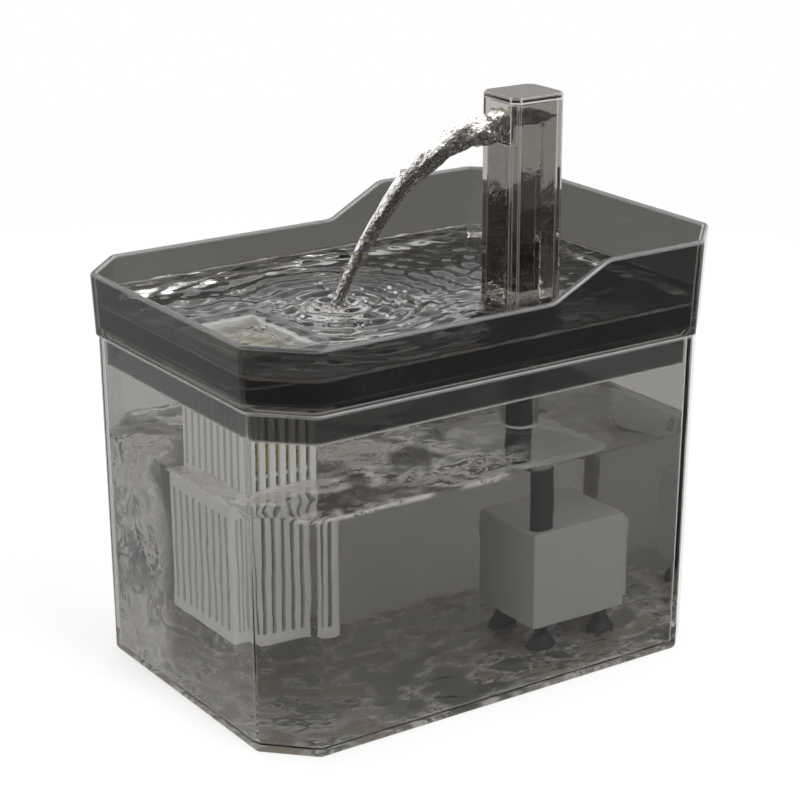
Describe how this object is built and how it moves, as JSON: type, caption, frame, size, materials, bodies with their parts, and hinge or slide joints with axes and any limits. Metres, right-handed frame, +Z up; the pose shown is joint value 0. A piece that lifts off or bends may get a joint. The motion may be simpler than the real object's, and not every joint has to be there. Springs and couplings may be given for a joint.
{
  "type": "pet water fountain",
  "caption": "Clear tank with a lift-off drinking tray, square spout tower, hanging slotted filter box with foam, and a submersible pump.",
  "frame": {"origin": "centre of the tank's underside, on the surface that the fountain stands on", "axes": "+Z up, X along the long side with the tray's raised rim at +X, the front faces -Y"},
  "size_m": [0.2045, 0.1482, 0.2175],
  "materials": {
    "clear_smoke": "clear smoke-tinted polystyrene, glossy",
    "dark_smoke": "dark smoke plastic, glossy",
    "filter_white": "white plastic, satin",
    "foam_yellow": "open-cell foam",
    "cap_brown": "brown smoke plastic, glossy",
    "rubber_black": "black silicone rubber",
    "pump_grey": "grey moulded plastic",
    "pump_dark": "dark moulded plastic",
    "impeller_white": "white moulded plastic",
    "ferrite": "sintered ferrite magnet",
    "ceramic": "polished ceramic",
    "core_steel": "laminated steel",
    "copper": "enamelled copper winding",
    "epoxy": "black potting resin"
  },
  "bodies": {
    "tank": {"tank": "clear_smoke", "pump_housing": "pump_grey", "impeller_chamber_cover": "pump_dark", "impeller_shaft": "ceramic", "front_bush": "rubber_black", "rear_bush": "rubber_black", "stator_core": "core_steel", "stator_coil": "copper", "potting": "epoxy", "cord_gland": "rubber_black", "suction_cups": "rubber_black", "outlet_hose": "rubber_black"},
    "tray": {"tray": "clear_smoke", "filter_frame": "dark_smoke", "riser_tube": "clear_smoke"},
    "tower": {"spout_tower": "clear_smoke", "spout_cap": "cap_brown"},
    "filter": {"filter_box": "filter_white"},
    "sponge": {"filter_sponge": "foam_yellow"},
    "rotor": {"impeller": "impeller_white", "rotor_magnet": "ferrite"},
    "intake_cover": {"pump_intake_cover": "pump_grey"},
    "regulator": {"flow_slider": "pump_grey"}
  },
  "joints": [
    {"name": "tray_lift", "type": "slide", "parent": "tank", "child": "tray", "axis": [0, 0, 1], "range_m": [0, 0.1]},
    {"name": "tower_lift", "type": "slide", "parent": "tray", "child": "tower", "axis": [0, 0, 1], "range_m": [0, 0.03]},
    {"name": "filter_lift", "type": "slide", "parent": "tray", "child": "filter", "axis": [0, 0, 1], "range_m": [0, 0.11]},
    {"name": "sponge_lift", "type": "slide", "parent": "filter", "child": "sponge", "axis": [0, 0, 1], "range_m": [0, 0.045]},
    {"name": "impeller_spin", "type": "hinge", "parent": "tank", "child": "rotor", "pos_m": [0.045, -0.0226, 0.0325], "axis": [0, 1, 0], "continuous": true},
    {"name": "intake_cover_pull", "type": "slide", "parent": "tank", "child": "intake_cover", "axis": [0, -1, 0], "range_m": [0, 0.025]},
    {"name": "flow_slider_travel", "type": "slide", "parent": "tank", "child": "regulator", "axis": [0, 0, 1], "range_m": [0, 0.016]}
  ]
}
